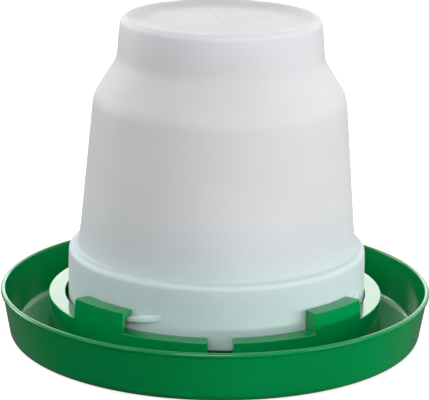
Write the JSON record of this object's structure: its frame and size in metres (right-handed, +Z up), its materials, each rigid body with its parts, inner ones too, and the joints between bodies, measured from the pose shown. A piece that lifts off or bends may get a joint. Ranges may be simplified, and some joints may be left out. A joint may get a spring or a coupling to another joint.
{
  "type": "poultry waterer fount",
  "caption": "Round poultry drinker: a white translucent jar locks mouth down into a green drinking tray with an inner ring, water outlets and lock hooks.",
  "frame": {"origin": "centre of the tray's flat underside, on the common axis of tray and jar", "axes": "+Z up along the common axis; -Y towards the front water outlet"},
  "size_m": [0.28, 0.28, 0.211],
  "materials": {
    "base": "gloss injection-moulded green plastic",
    "jar": "satin blow-moulded translucent white polyethylene"
  },
  "bodies": {
    "base": {"base_tray": "base"},
    "mouth_rim": {"jar_mouth_rim": "jar"},
    "jar": {"jar_shell": "jar"}
  },
  "joints": [
    {"name": "jar_rise", "type": "slide", "parent": "base", "child": "mouth_rim", "axis": [0, 0, 1], "range_m": [0, 0.0158]},
    {"name": "jar_turn", "type": "hinge", "parent": "mouth_rim", "child": "jar", "pos_m": [0, 0, 0.0292], "axis": [0, 0, 1], "range_deg": [0, 90]}
  ],
  "couplings": [
    {"joint": "jar_rise", "follows": "jar_turn", "m_per_rad": 0.01}
  ]
}
